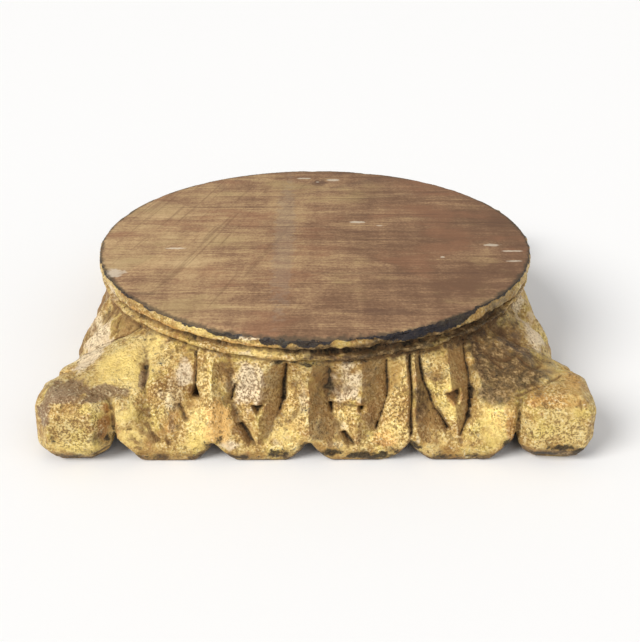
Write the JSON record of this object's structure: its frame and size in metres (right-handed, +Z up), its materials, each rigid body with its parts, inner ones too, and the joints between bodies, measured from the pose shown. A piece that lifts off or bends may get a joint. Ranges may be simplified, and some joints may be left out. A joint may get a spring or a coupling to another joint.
{
  "type": "carved column base",
  "caption": "Carved and gilded wooden column base: round flat top, turned neck moulding, leaf lobes along square sides and a chamfered block at each corner.",
  "frame": {"origin": "on the floor, under the middle of the base", "axes": "+Z up from the underside to the sawn round top; the side seen in the picture faces -Y, with +X to its right"},
  "size_m": [0.33, 0.33, 0.078],
  "materials": {
    "gilded_wood": "worn gold leaf over reddish bole and gesso on the sides, bare sawn wood on top"
  },
  "bodies": {
    "root": {"column_base": "gilded_wood"}
  },
  "joints": []
}
